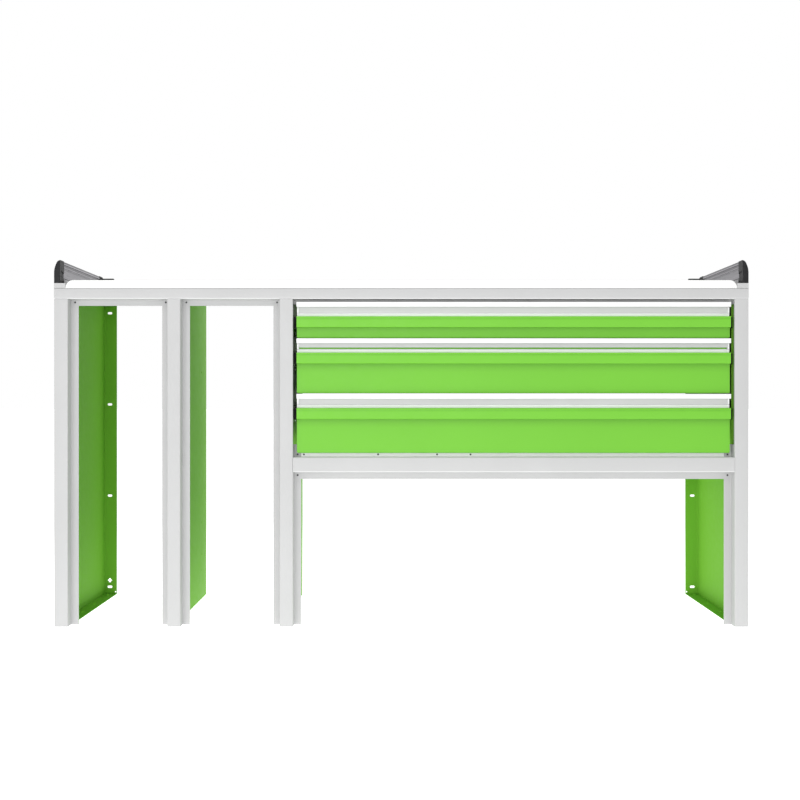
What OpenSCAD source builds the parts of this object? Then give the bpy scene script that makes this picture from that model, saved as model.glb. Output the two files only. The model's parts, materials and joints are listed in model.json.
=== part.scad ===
// Modular steel workbench: two open bays on the left and a bay with three full-width drawers on the right.
// The front of the bench faces -Y. The origin is on the floor, under the middle of the bench.

/* [Bench] */
// Distance between the centres of the posts of one open bay
open_bay = 292.5; // [260:0.5:330]
// Distance between the centres of the posts of the drawer bay
drawer_bay = 1184; // [1000:1:1300]
// Depth of the whole bench, front to back
bench_d = 420; // [420:1:460]
// Height of the steel frame, floor to the underside of the worktop
frame_h = 881; // [881:1:920]
// Thickness of the folded frame sheet
sheet = 1.5; // [1.2:0.1:1.6]

/* [Posts and beams] */
// Width of a post's front face
post_w = 35; // [34:0.5:38]
// Width of an end post's front face
end_post_w = 36.3; // [35:0.1:38]
// Distance from a post's front face back to its side flanges
hat_d = 27; // [26:0.5:28]
// Width of a post's side flange
post_flange = 19; // [17:0.5:20]
// Height of the front beam's face
top_beam_h = 28; // [26:0.5:30]
// Height of the flange below the front beam's face
top_beam_flange = 15.5; // [13:0.5:16]
// Height of the lower beam's bottom edge above the floor
lower_beam_z = 382.5; // [370:0.5:384]
// Height of the lower beam's face
lower_beam_h = 38.5; // [36:0.5:39]
// Height of the lower beam's flanges, above and below its face
lower_beam_flange = 19.5; // [17:0.5:20]

/* [Side panels] */
// Width of the flanges round a divider panel
panel_flange = 36; // [34:0.5:37]
// Width of the flanges round an end panel
end_flange = 39; // [37:0.5:41]
// Distance between neighbouring slots in a panel's rear flange
slot_pitch = 277.3; // [270:0.1:278]
// Height of the lowest slot above the floor
slot_z = 22; // [20:0.5:24]
// Length of a rear slot
slot_l = 14; // [12:0.5:16]
// Radius of a rear slot's ends
slot_r = 3.5; // [3:0.1:4]
// Radius of a floor bolt hole
floor_hole_r = 3.5; // [3:0.1:4]

/* [Worktop and side rails] */
// Thickness of the worktop, and the radius of its rounded ends
top_t = 21; // [18:0.5:22]
// Width of the strips beside the worktop that carry the side rails
seat_w = 29.8; // [28:0.1:31]
// Height of those strips
seat_h = 13; // [12:0.5:14]
// Height of a side rail's end cap
cap_h = 61.5; // [60:0.5:63]
// Width of a side rail and of its end caps
rail_w = 14.8; // [14:0.1:16]
// Length of an end cap, front to back
cap_d = 33; // [30:0.5:36]
// Distance from the back of the bench to the rear end caps
rail_back = 53; // [20:1:80]

/* [Drawers] */
// Height of the top drawer's front
top_front_h = 93; // [90:0.5:96]
// Height of the middle drawer's front
middle_front_h = 143; // [140:0.5:145]
// Height of the bottom drawer's front
bottom_front_h = 154.5; // [152:0.5:155]
// Gap between one drawer front and the next
front_gap = 1.5; // [1.2:0.1:2.5]
// Gap between a drawer front and the post beside it
side_gap = 9.5; // [9:0.1:10]
// Height of the aluminium handle strip at the top of a front
handle_h = 36.7; // [36:0.1:37]
// Height of the ridge below the handle
ridge_h = 29; // [28:0.5:30]
// Distance from the ridge back to the plain part of a front
ridge_d = 10; // [8:0.5:11]
// Length of a runner
runner_l = 350; // [350:1:356]

/* [Hidden] */

$fn = 48;
green = [0.51, 0.83, 0.30];
pale_grey = [0.86, 0.86, 0.87];
white = [0.95, 0.95, 0.94];
aluminium = [0.78, 0.78, 0.80];
black = [0.12, 0.12, 0.12];
zinc = [0.62, 0.64, 0.67];
bend_r = 1.2;
bend_steps = 4;
arc_steps = 14;
// A cut goes this far past the surface that it opens
past = 1;

// Main planes
half_w = (2*open_bay + drawer_bay - post_w)/2 + end_post_w;
front_y = -bench_d/2;
back_y = bench_d/2;
flange_y = front_y + hat_d;
panel_y = flange_y + sheet;
left_divider_x = -half_w + end_post_w - post_w/2 + open_bay;
right_divider_x = left_divider_x + open_bay;
beam_z = frame_h - top_beam_h;

// The drawer bay, between the faces of its posts
bay_left = right_divider_x + post_w/2;
bay_right = half_w - end_post_w;
bay_right_wall = half_w - sheet;
notch_clear = [14, 12];
notch_low = lower_beam_z + 2*lower_beam_flange + lower_beam_h + notch_clear[0];
notch_high = beam_z - notch_clear[1];
notch_lip = 6.5;

// Holes and slots
flange_hole_r = 2.5;
flange_hole_z = beam_z - 6.5;
floor_hole_y = [front_y + 170, front_y + 272, front_y + 401];
floor_hole_in = 18;
divider_hole_z = [85, 132, 228, 672];
divider_hole_y = front_y + 350;
lower_beam_hole_x = [-256, -61, 94, 182];
beam_hole_up = 6.5;
beam_hole_low = 10;
arrow_up = 20;
relief_r = 2;
relief_z = 7;

// Rear rails
rear_rail_h = 50;
rear_rail_d = 25;
rear_rail_y = 178;
rear_rail_z = [420, 790];
rear_bolt_y = rear_rail_y + 12.5;
rear_bolt_r = 3;
rear_bolt_hole_r = 3.3;
rear_bolt_spread = 24;
bolt_head_h = 4;
bolt_stub = 2;
nut_h = 5;
hexagon_r = 5.7;

// Worktop screws
screw_y = [-150, 150];
rail_screw_y = [-150, 100];
screw_in = 20;
screw_r = 2;
screw_hole_r = 2.2;
screw_head_r = 4.5;
screw_head_h = 2.5;
screw_depth = 14;
top_gap = 0.5;
edge_r = 2;

// Side rails
rail_z = frame_h + seat_h;
rail_wall = 2;
rail_thread = 7;
rail_screw_in = 6.3;
rail_end_y = [front_y + cap_d, back_y - rail_back - cap_d];
lean_r = 60;
lean_angle = 25;
crown_r = 8;
crown_u = rail_w - lean_r + (lean_r - crown_r)*cos(lean_angle);
lean_v = cap_h - crown_r - (lean_r - crown_r)*sin(lean_angle);
plug_l = 14;
rail_step = 1.2;
nose_r = 2.5;
nose_outer_r = 3;
// A shallow recess in a cap's inner face: y back from its nose and v up from the seat
cap_recess = [[7, 16], [cap_d + past, 16], [cap_d + past, 28.5], [22, 31], [12, 33.6], [7, 32]];
cap_recess_d = 1.5;
tab_l = 33;
tab_h = 3.5;
tab_d = 8;
tab_in = 3;
tab_drop = 4.25;
rib_top = 10.5;
rib_outer = rail_w + 0.7;

// Drawers: the tops and bottoms of the fronts, and the height of the middle of each runner
front_hs = [top_front_h, middle_front_h, bottom_front_h];
top_clear = 8;
drawer_top = [beam_z - top_clear, beam_z - top_clear - front_hs[0] - front_gap,
              beam_z - top_clear - front_hs[0] - front_hs[1] - 2*front_gap];
drawer_low = [for (i = [0:2]) drawer_top[i] - front_hs[i]];
runner_drop = 52;
runner_z = [for (i = [0:2]) drawer_top[i] - runner_drop];
front_left = bay_left + side_gap;
front_right = bay_right - side_gap;
handle_d = 20;
handle_end_t = 3.8;
handle_end_h = 27.6;
slot_end = 5;
slot_low = 9.5;
slot_high = 13.7;
hem_h = 4.6;
hem_t = 1;
hem_gap = 2.2;
hem_groove = 0.7;
plate_gap = 0.3;
strip_drop = 4;
corner_cut = 4;
front_fold = 2;
front_back_y = front_y + handle_d + front_fold;

// Drawer boxes
runner_w = 12.7;
box_left = bay_left + runner_w;
box_right = bay_right - runner_w;
box_l = 343;
box_back_y = front_back_y + box_l;
box_drop = 17;
box_rise = [6, 6, 25];
box_top = [for (i = [0:2]) drawer_top[i] - box_drop];
box_low = [for (i = [0:2]) drawer_low[i] + box_rise[i]];
rim = 7;
corner_gap = 0.3;
front_screw_drop = 32;
front_screw_in = 80;
front_screw_x = [for (k = [0:3]) box_left + front_screw_in + k*(box_right - box_left - 2*front_screw_in)/3];

// Runners: half heights of the three nested members, and where they start
runner_y = front_back_y + 2;
runner_t = 1.2;
fixed_half = 15;
mid_half = 12.5;
inner_half = 9;
fixed_w = 10;
mid_out = 2.5;
mid_w = 8.5;
inner_w = 7.5;
mid_short = 10;
inner_short = 12;
stop_out = 1.6;
stop_w = 3.2;
stop_t = 2;
carrier_in = 3.5;
carrier_l = 348;
carrier_y = [panel_y + carrier_in, panel_y + carrier_in + carrier_l];
carrier_half = 13;
carrier_foot = 12;
carrier_screw_y = [panel_y + 30, panel_y + 175, panel_y + 325];
carrier_head_h = 2;
carrier_head_r = 3.2;

// ---------------------------------------------------------------- folded sheet
function unit(v) = v/norm(v);
function left_of(v) = [-v[1], v[0]];
function turned(v, a) = [v[0]*cos(a) - v[1]*sin(a), v[0]*sin(a) + v[1]*cos(a)];
function turn_side(a, b) = sign(a[0]*b[1] - a[1]*b[0]);
function reversed(v) = [for (i = [len(v) - 1:-1:0]) v[i]];

// Points of one face of the sheet round the bend at b; side is 1 for the left face and -1 for the right
function bend(a, b, c, t, side) =
    let (d0 = unit(b - a), d1 = unit(c - b), s = turn_side(d0, d1), angle = acos(d0*d1),
         mid_r = bend_r + t/2, centre = b - d0*mid_r*tan(angle/2) + s*mid_r*left_of(d0))
    [for (k = [0:bend_steps])
        centre - (mid_r - side*s*t/2)*s*turned(left_of(d0), s*angle*k/bend_steps)];

function face(path, t, side) =
    let (n = len(path))
    [path[0] + side*t/2*left_of(unit(path[1] - path[0])),
     for (i = [1:n - 2]) each bend(path[i - 1], path[i], path[i + 1], t, side),
     path[n - 1] + side*t/2*left_of(unit(path[n - 1] - path[n - 2]))];

// A sheet of thickness t, folded along a path that runs through the middle of its thickness
module folded(path, t = sheet) {
    polygon(concat(face(path, t, 1), reversed(face(path, t, -1))));
}

function arc(centre, r, from, to, steps = arc_steps) =
    [for (k = [0:steps]) centre + r*[cos(from + (to - from)*k/steps), sin(from + (to - from)*k/steps)]];

// Extrusions along each axis, and a box between two corners
module along_x(x0, x1) {
    translate([x0, 0, 0]) rotate([90, 0, 90]) linear_extrude(x1 - x0) children();
}
module along_y(y0, y1) {
    translate([0, y1, 0]) rotate([90, 0, 0]) linear_extrude(y1 - y0) children();
}
module along_z(z0, z1) {
    translate([0, 0, z0]) linear_extrude(z1 - z0) children();
}
module block(low, high) {
    translate(low) cube(high - low);
}

// The children as they are for side 1, and their mirror image across the bench for side -1
module mirrored(side) {
    mirror([side > 0 ? 0 : 1, 0, 0]) children();
}

// Round bars and holes along each axis, from one coordinate to another
module bar_x(x0, x1, y, z, r) {
    translate([x0, y, z]) rotate([0, 90, 0]) cylinder(r = r, h = x1 - x0);
}
module bar_y(y0, y1, x, z, r) {
    translate([x, y1, z]) rotate([90, 0, 0]) cylinder(r = r, h = y1 - y0);
}
module bar_z(z0, z1, x, y, r) {
    translate([x, y, z0]) cylinder(r = r, h = z1 - z0);
}

// ---------------------------------------------------------------- side panels
// A horizontal slot through the rear flange
module rear_slot(x, z) {
    y0 = back_y - sheet - past;
    y1 = back_y + past;
    run = slot_l/2 - slot_r;
    block([x - run, y0, z - slot_r], [x + run, y1, z + slot_r]);
    for (end = [-1, 1]) bar_y(y0, y1, x + end*run, z, slot_r);
}

// An arrow-shaped cut-out that points up, in the rear flange
module arrow_cut(x, z) {
    along_y(back_y - sheet - past, back_y + past)
        translate([x, z]) polygon([[-7, -1], [0, 7], [7, -1], [3, -1], [3, -6], [-3, -6], [-3, -1]]);
}

// A channel panel whose flat face is at x, with flanges that point along side. Its top flange has screw holes
// at the distance top_in from the flat face
module side_panel(x, side, front_flange, flange, top_in, top_y) {
    middle = x + side*sheet/2;
    hole_x = x + side*floor_hole_in;
    difference() {
        union() {
            along_z(0, frame_h)
                folded([[x + side*front_flange, panel_y + sheet/2], [middle, panel_y + sheet/2],
                        [middle, back_y - sheet/2], [x + side*flange, back_y - sheet/2]]);
            for (z = [0, frame_h - sheet])
                block([min(middle, x + side*flange), panel_y + sheet/2, z],
                      [max(middle, x + side*flange), back_y - sheet/2, z + sheet]);
        }
        for (k = [0:3]) rear_slot(hole_x, slot_z + k*slot_pitch);
        for (y = floor_hole_y) bar_z(-past, sheet + past, hole_x, y, floor_hole_r);
        for (y = top_y) bar_z(frame_h - sheet - past, frame_h + past, x + side*top_in, y, screw_hole_r);
        bar_y(back_y - sheet - past, back_y + past, x + side*(flange - 2*relief_r), relief_z, relief_r);
    }
}

// Bolt holes for the rear rails, through a panel's web at x
module rear_bolt_holes(x) {
    for (z = rear_rail_z)
        for (up = [-1, 1])
            bar_x(x - sheet - past, x + sheet + past, rear_bolt_y, z + rear_rail_h/2 + up*rear_bolt_spread/2,
                  rear_bolt_hole_r);
}

module left_end_panel() {
    color(green) difference() {
        side_panel(-half_w, 1, end_post_w + post_flange, end_flange, rail_screw_in, rail_screw_y);
        arrow_cut(-half_w + floor_hole_in, slot_z + arrow_up);
    }
}

module left_divider_panel() {
    color(green) difference() {
        side_panel(left_divider_x, -1, panel_flange, panel_flange, screw_in, screw_y);
        for (z = divider_hole_z)
            bar_x(left_divider_x - sheet - past, left_divider_x + past, divider_hole_y, z, flange_hole_r);
    }
}

module right_divider_panel() {
    color(green) difference() {
        side_panel(right_divider_x, -1, panel_flange, panel_flange, screw_in, screw_y);
        rear_bolt_holes(right_divider_x);
    }
}

module right_end_panel() {
    color(green) difference() {
        side_panel(half_w, -1, end_post_w + post_flange, end_flange, rail_screw_in, rail_screw_y);
        block([bay_right - post_flange - past, panel_y - past, notch_low],
              [bay_right + past, panel_y + sheet + past, notch_high]);
        rear_bolt_holes(half_w);
    }
}

// ---------------------------------------------------------------- posts and front beams
module divider_section(x) {
    face_in = post_w/2 - sheet/2;
    folded([[x - post_w/2 - post_flange, flange_y + sheet/2], [x - face_in, flange_y + sheet/2],
            [x - face_in, front_y + sheet/2], [x + face_in, front_y + sheet/2],
            [x + face_in, flange_y + sheet/2], [x + post_w/2 + post_flange, flange_y + sheet/2]]);
}

module end_section(side) {
    outer = side*(half_w - sheet/2);
    inner = side*(half_w - end_post_w + sheet/2);
    folded([[outer, panel_y], [outer, front_y + sheet/2], [inner, front_y + sheet/2],
            [inner, flange_y + sheet/2], [side*(half_w - end_post_w - post_flange), flange_y + sheet/2]]);
}

// Small hole through a flange and the panel behind it
module flange_hole(x, z) {
    bar_y(flange_y - past, flange_y + sheet + past, x, z, flange_hole_r);
}

// Dark flush screws in the flanges' holes
module flange_screw(x, z) {
    bar_y(flange_y + 0.3, flange_y + sheet, x, z, flange_hole_r - 0.05);
}

module flange_screws() {
    color(black) {
        for (x = [-half_w + end_post_w + post_flange/2, left_divider_x - (post_w + post_flange)/2,
                  left_divider_x + (post_w + post_flange)/2, right_divider_x - (post_w + post_flange)/2])
            flange_screw(x, flange_hole_z);
        for (x = [bay_left + post_flange/2, bay_right - post_flange/2]) {
            flange_screw(x, lower_beam_z + beam_hole_low);
            flange_screw(x, lower_beam_z + lower_beam_flange + lower_beam_h + beam_hole_up);
        }
        for (x = lower_beam_hole_x)
            flange_screw(x, lower_beam_z + lower_beam_flange + lower_beam_h + beam_hole_up);
    }
}

// Cuts a post's flange and most of its side wall away beside the drawers, between x0 and x1
module drawer_notch(x0, x1) {
    block([x0, front_y + notch_lip, notch_low], [x1, panel_y + past, notch_high]);
}

// Holes in a post's flange at the ends of the front beams
module beam_end_holes(x) {
    flange_hole(x, lower_beam_z + beam_hole_low);
    flange_hole(x, lower_beam_z + lower_beam_flange + lower_beam_h + beam_hole_up);
}

module left_end_post() {
    color(pale_grey) difference() {
        along_z(0, beam_z) end_section(-1);
        flange_hole(-half_w + end_post_w + post_flange/2, flange_hole_z);
    }
}

module left_divider_post() {
    color(pale_grey) difference() {
        along_z(0, beam_z) divider_section(left_divider_x);
        for (side = [-1, 1]) flange_hole(left_divider_x + side*(post_w + post_flange)/2, flange_hole_z);
    }
}

module right_divider_post() {
    color(pale_grey) difference() {
        along_z(0, beam_z) divider_section(right_divider_x);
        drawer_notch(bay_left - sheet - past/2, bay_left + post_flange + past);
        flange_hole(right_divider_x - (post_w + post_flange)/2, flange_hole_z);
        beam_end_holes(bay_left + post_flange/2);
    }
}

module right_end_post() {
    color(pale_grey) difference() {
        along_z(0, beam_z) end_section(1);
        drawer_notch(bay_right - post_flange - past, bay_right + sheet + past/2);
        beam_end_holes(bay_right - post_flange/2);
    }
}

// The space that the posts' flanges fill, from z0 to z1
module post_flanges(z0, z1) {
    spans = [[-half_w, -half_w + end_post_w + post_flange], [half_w - end_post_w - post_flange, half_w],
             for (x = [left_divider_x, right_divider_x])
                 [x - post_w/2 - post_flange, x + post_w/2 + post_flange]];
    for (s = spans) block([s[0], flange_y - bend_r - sheet, z0], [s[1], panel_y + past, z1]);
}

module top_beam() {
    color(pale_grey) union() {
        difference() {
            along_x(-half_w, half_w)
                folded([[panel_y, frame_h - sheet/2], [front_y + sheet/2, frame_h - sheet/2],
                        [front_y + sheet/2, beam_z + sheet/2], [flange_y + sheet/2, beam_z + sheet/2],
                        [flange_y + sheet/2, beam_z - top_beam_flange]]);
            post_flanges(beam_z - top_beam_flange - past, beam_z);
        }
        for (x = [-half_w, half_w - sheet])
            block([x, front_y + bend_r + sheet, beam_z + sheet/2], [x + sheet, panel_y, frame_h - sheet/2]);
    }
}

module lower_beam() {
    face_z = lower_beam_z + lower_beam_flange;
    face_top = face_z + lower_beam_h;
    color(pale_grey) difference() {
        along_x(bay_left, bay_right)
            folded([[flange_y + sheet/2, lower_beam_z], [flange_y + sheet/2, face_z + sheet/2],
                    [front_y + sheet/2, face_z + sheet/2], [front_y + sheet/2, face_top - sheet/2],
                    [flange_y + sheet/2, face_top - sheet/2],
                    [flange_y + sheet/2, face_top + lower_beam_flange]]);
        for (s = [[bay_left - past, bay_left + post_flange], [bay_right - post_flange, bay_right + past]])
            block([s[0], flange_y, lower_beam_z - past], [s[1], panel_y + past, notch_low]);
        for (s = [[bay_left - past, bay_left + post_flange], [bay_right - post_flange, bay_right + past]])
            for (z = [[lower_beam_z - past, face_z], [face_top, notch_low]])
                block([s[0], flange_y - bend_r - sheet, z[0]], [s[1], panel_y + past, z[1]]);
        for (x = lower_beam_hole_x) flange_hole(x, face_top + beam_hole_up);
    }
}

// ---------------------------------------------------------------- rear rails of the drawer bay
module rear_rail(z) {
    color(green) difference() {
        union() {
            along_x(right_divider_x, bay_right_wall)
                folded([[rear_rail_y + rear_rail_d, z + sheet/2], [rear_rail_y + sheet/2, z + sheet/2],
                        [rear_rail_y + sheet/2, z + rear_rail_h - sheet/2],
                        [rear_rail_y + rear_rail_d, z + rear_rail_h - sheet/2]]);
            for (x = [right_divider_x, bay_right_wall - sheet])
                block([x, rear_rail_y + sheet/2, z + sheet/2],
                      [x + sheet, rear_rail_y + rear_rail_d, z + rear_rail_h - sheet/2]);
        }
        for (x = [right_divider_x, bay_right_wall])
            for (up = [-1, 1])
                bar_x(x - sheet - past, x + sheet + past, rear_bolt_y,
                      z + rear_rail_h/2 + up*rear_bolt_spread/2, rear_bolt_hole_r);
    }
}

module upper_rear_rail() {
    rear_rail(rear_rail_z[1]);
}

module lower_rear_rail() {
    rear_rail(rear_rail_z[0]);
}

// A hexagon bolt along X whose washer face is at x; the head points along side
module bolt_x(x, side, y, z, nut_h) {
    grip = 2*sheet;
    stub = nut_h > 0 ? bolt_stub : 0;
    translate([x, y, z]) rotate([0, side*90, 0]) {
        cylinder(r = hexagon_r, h = bolt_head_h, $fn = 6);
        translate([0, 0, -grip - nut_h - stub]) cylinder(r = rear_bolt_r, h = grip + nut_h + stub);
        if (nut_h > 0) translate([0, 0, -grip - nut_h]) cylinder(r = hexagon_r, h = nut_h, $fn = 6);
    }
}

// The bolts at the end panel have no nut: they end flush with its outer face
module rear_rail_bolts() {
    color(zinc)
        for (z = rear_rail_z)
            for (up = [-1, 1]) {
                bolt_z = z + rear_rail_h/2 + up*rear_bolt_spread/2;
                bolt_x(right_divider_x + sheet, 1, rear_bolt_y, bolt_z, nut_h);
                bolt_x(bay_right_wall - sheet, -1, rear_bolt_y, bolt_z, 0);
            }
}

// ---------------------------------------------------------------- worktop and side rails
// A board from low to high whose two upper corners are rounded by its full thickness
function board_outline(low, high) =
    concat(arc([low + top_t, frame_h], top_t, 180, 90), arc([high - top_t, frame_h], top_t, 90, 0));

// The same board seen from the side, where its upper edges are only eased
function eased_outline(low, high) =
    concat([[low, frame_h]], arc([low + edge_r, frame_h + top_t - edge_r], edge_r, 180, 90, 6),
           arc([high - edge_r, frame_h + top_t - edge_r], edge_r, 90, 0, 6), [[high, frame_h]]);

// The divider panels' flanges point to the left, and the worktop's screws go through them
top_screw_x = [left_divider_x - screw_in, right_divider_x - screw_in];

module worktop() {
    end = half_w - seat_w - top_gap;
    color(white) difference() {
        intersection() {
            along_y(front_y, back_y) polygon(board_outline(-end, end));
            along_x(-end, end) polygon(eased_outline(front_y, back_y));
        }
        for (x = top_screw_x)
            for (y = screw_y)
                bar_z(frame_h - past, frame_h + screw_depth + past, x, y, screw_hole_r);
    }
}

// A pan-head screw that points up from under a panel's top flange, and reaches depth above the frame
module screw_up(x, y, depth) {
    under = frame_h - sheet;
    bar_z(under - screw_head_h, under, x, y, screw_head_r);
    bar_z(under - past/2, frame_h + depth, x, y, screw_r);
}

module worktop_screws() {
    color(zinc)
        for (x = top_screw_x)
            for (y = screw_y)
                screw_up(x, y, screw_depth);
}

// Longer screws through the end panels and the seats into the side rails
module rail_screws() {
    color(zinc)
        for (side = [-1, 1])
            for (y = rail_screw_y)
                screw_up(side*(half_w - rail_screw_in), y, seat_h + rail_thread);
}

// Holes for those screws, upwards from z
module rail_screw_holes(z) {
    for (y = rail_screw_y) bar_z(z, rail_z + rail_wall + past, half_w - rail_screw_in, y, screw_hole_r);
}

// A channel that opens downwards, with closed ends; behind the front cap its inner part is a raised rib
module rail_seat(side) {
    outer = half_w - sheet/2;
    inner = half_w - seat_w + sheet/2;
    flat_top = rail_z - sheet/2;
    rib_x = half_w - rib_outer;
    rib_z = rail_z + rib_top - sheet/2;
    color(pale_grey) mirrored(side) difference() {
        union() {
            along_y(front_y, back_y)
                folded([[outer, frame_h], [outer, flat_top], [inner, flat_top], [inner, frame_h]]);
            for (y = [front_y, back_y - sheet])
                block([inner, y, frame_h], [outer, y + sheet, flat_top]);
            along_y(rail_end_y[0], back_y)
                folded([[rib_x - sheet/2, flat_top], [rib_x - sheet/2, rib_z], [inner, rib_z],
                        [inner, flat_top]]);
            for (y = [rail_end_y[0], back_y - sheet])
                block([inner, y, flat_top], [rib_x - sheet/2, y + sheet, rib_z]);
        }
        rail_screw_holes(rail_z - sheet - past);
    }
}

module left_seat() {
    rail_seat(-1);
}

module right_seat() {
    rail_seat(1);
}

// The leaning outer side and the rounded crown of a side rail, moved inwards by inset: u runs from the cap's
// inner face outwards and v up from the seat
function leaning(inset) =
    concat(arc([rail_w - lean_r, lean_v], lean_r - inset, 0, lean_angle),
           arc([crown_u, cap_h - crown_r], crown_r - inset, lean_angle + 13, 90, 6));

function cap_outline() =
    concat([[0, 0], [rail_w, 0]], leaning(0), arc([crown_u, cap_h - crown_u], crown_u, 105, 180, 5));

// Outline of a cap from above, with the corners of its nose rounded
function cap_plan() =
    concat(arc([nose_r, nose_r], nose_r, 180, 270, 6),
           arc([rail_w - nose_outer_r, nose_outer_r], nose_outer_r, 270, 360, 8),
           [[rail_w, cap_d], [0, cap_d]]);

// Outline of the aluminium extrusion: a grooved inner face, and the cap's outside less a step
function rail_outline() =
    concat([[rail_step, 0], [rail_w - rail_step, 0]], leaning(rail_step),
           [[1.5, cap_h - 1.8], [1, cap_h - 2.8], [1, 53], [2.8, 52], [2.8, 48.5], [1, 47.5], [1, 43.5],
            [2.4, 42.5], [2.4, 39.5], [1.2, 38.5], [1.2, 16.5], [2.4, 15.5], [2.4, 11.5], [1.2, 10.8]]);

function rail_hollow() =
    [[4, rail_wall], [rail_w - 3.2, rail_wall], [rail_w - 3.2, 30], [rail_w - 5.6, 49], [5, 49], [4.8, 36],
     [3.2, 35], [3.2, 19], [4, 18]];

// Places a (u, v) outline at the right end of the bench, in X and Z
module at_rail() {
    translate([half_w - rail_w, rail_z]) children();
}

module side_rail(side) {
    color(aluminium) mirrored(side) difference() {
        along_y(rail_end_y[0], rail_end_y[1]) at_rail() difference() {
            polygon(rail_outline());
            polygon(rail_hollow());
        }
        rail_screw_holes(rail_z - past);
    }
}

module left_side_rail() {
    side_rail(-1);
}

module right_side_rail() {
    side_rail(1);
}

// The cap's plug, which fills the upper part of the extrusion's hollow
function plug_outline() =
    [[5.4, 24], [rail_w - 3.6, 24], [rail_w - 3.6, 30], [rail_w - 6, 48.6], [5.4, 48.6]];

// A cap whose nose is at the front plane; its plug points backwards
module cap_shape() {
    difference() {
        union() {
            intersection() {
                along_y(front_y, front_y + cap_d) at_rail() polygon(cap_outline());
                along_z(rail_z, rail_z + cap_h) translate([half_w - rail_w, front_y]) polygon(cap_plan());
            }
            along_y(front_y + cap_d - past, front_y + cap_d + plug_l) at_rail() polygon(plug_outline());
        }
        along_x(half_w - rail_w - past, half_w - rail_w + cap_recess_d)
            translate([front_y, rail_z]) polygon(cap_recess);
    }
}

module front_cap(side) {
    color(black) mirrored(side) cap_shape();
}

// The same cap turned to the back, with a tab at its top that points inwards
module rear_cap(side) {
    nose_y = back_y - rail_back;
    color(black) mirrored(side) union() {
        translate([0, nose_y + front_y, 0]) mirror([0, 1, 0]) cap_shape();
        block([half_w - rail_w - tab_l, nose_y - tab_in - tab_d, rail_z + cap_h - tab_drop - tab_h],
              [half_w - rail_w + past, nose_y - tab_in, rail_z + cap_h - tab_drop]);
    }
}

module left_front_cap() {
    front_cap(-1);
}

module left_rear_cap() {
    rear_cap(-1);
}

module right_front_cap() {
    front_cap(1);
}

module right_rear_cap() {
    rear_cap(1);
}

// ---------------------------------------------------------------- runner carriers
// A hat channel on the wall at x, which stands out by depth along side and holds a runner at height z
module carrier(x, side, depth, z) {
    foot = x + side*sheet/2;
    crown = x + side*(depth - sheet/2);
    half = carrier_half - sheet/2;
    along_y(carrier_y[0], carrier_y[1])
        folded([[foot, z - carrier_half - carrier_foot], [foot, z - half], [crown, z - half],
                [crown, z + half], [foot, z + half], [foot, z + carrier_half + carrier_foot]]);
}

module left_carriers() {
    color(green) for (z = runner_z) carrier(right_divider_x, 1, bay_left - right_divider_x, z);
}

module right_carriers() {
    color(green) for (z = runner_z) carrier(bay_right_wall, -1, bay_right_wall - bay_right, z);
}

// Pan heads that hold the carriers' feet to the panels
module carrier_screws() {
    color(zinc)
        for (z = runner_z)
            for (up = [-1, 1])
                for (y = carrier_screw_y) {
                    foot_z = z + up*(carrier_half + carrier_foot/2 + 1);
                    left_foot = right_divider_x + sheet;
                    right_foot = bay_right_wall - sheet;
                    bar_x(left_foot, left_foot + carrier_head_h, y, foot_z, carrier_head_r);
                    bar_x(right_foot - carrier_head_h, right_foot, y, foot_z, carrier_head_r);
                }
}

// ---------------------------------------------------------------- runners
// A channel that opens along side: its back is at x, and it is w deep and 2*half high
module runner_channel(x, side, w, half, y0, y1) {
    back = x + side*runner_t/2;
    leg = half - runner_t/2;
    along_y(y0, y1)
        folded([[x + side*w, -leg], [back, -leg], [back, leg], [x + side*w, leg]], runner_t);
}

module fixed_runners(i) {
    color(black) translate([0, 0, runner_z[i]]) {
        runner_channel(bay_left, 1, fixed_w, fixed_half, runner_y, runner_y + runner_l);
        runner_channel(bay_right, -1, fixed_w, fixed_half, runner_y, runner_y + runner_l);
    }
}

module mid_runners(i) {
    color(black) translate([0, 0, runner_z[i]]) {
        runner_channel(bay_left + mid_out, 1, mid_w, mid_half, runner_y, runner_y + runner_l - mid_short);
        runner_channel(bay_right - mid_out, -1, mid_w, mid_half, runner_y, runner_y + runner_l - mid_short);
    }
}

// Plastic stops on the front ends of the fixed runners, clear of the members that slide
module runner_stops(i) {
    color(black)
        for (x = [bay_left - stop_out, bay_right + stop_out - stop_w])
            block([x, runner_y - stop_t, runner_z[i] - fixed_half],
                  [x + stop_w, runner_y, runner_z[i] + fixed_half]);
}

module inner_runners(i) {
    color(black) translate([0, 0, runner_z[i]]) {
        runner_channel(box_left, -1, inner_w, inner_half, runner_y, runner_y + runner_l - inner_short);
        runner_channel(box_right, 1, inner_w, inner_half, runner_y, runner_y + runner_l - inner_short);
    }
}

module top_fixed_runners() {
    fixed_runners(0);
}
module middle_fixed_runners() {
    fixed_runners(1);
}
module bottom_fixed_runners() {
    fixed_runners(2);
}
module top_mid_runners() {
    mid_runners(0);
}
module middle_mid_runners() {
    mid_runners(1);
}
module bottom_mid_runners() {
    mid_runners(2);
}
module top_runner_stops() {
    runner_stops(0);
}
module middle_runner_stops() {
    runner_stops(1);
}
module bottom_runner_stops() {
    runner_stops(2);
}
module top_inner_runners() {
    inner_runners(0);
}
module middle_inner_runners() {
    inner_runners(1);
}
module bottom_inner_runners() {
    inner_runners(2);
}

// ---------------------------------------------------------------- drawer fronts
module front_screw_holes(i, y0, y1) {
    for (x = front_screw_x) bar_y(y0, y1, x, drawer_top[i] - front_screw_drop, screw_hole_r);
}

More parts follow.
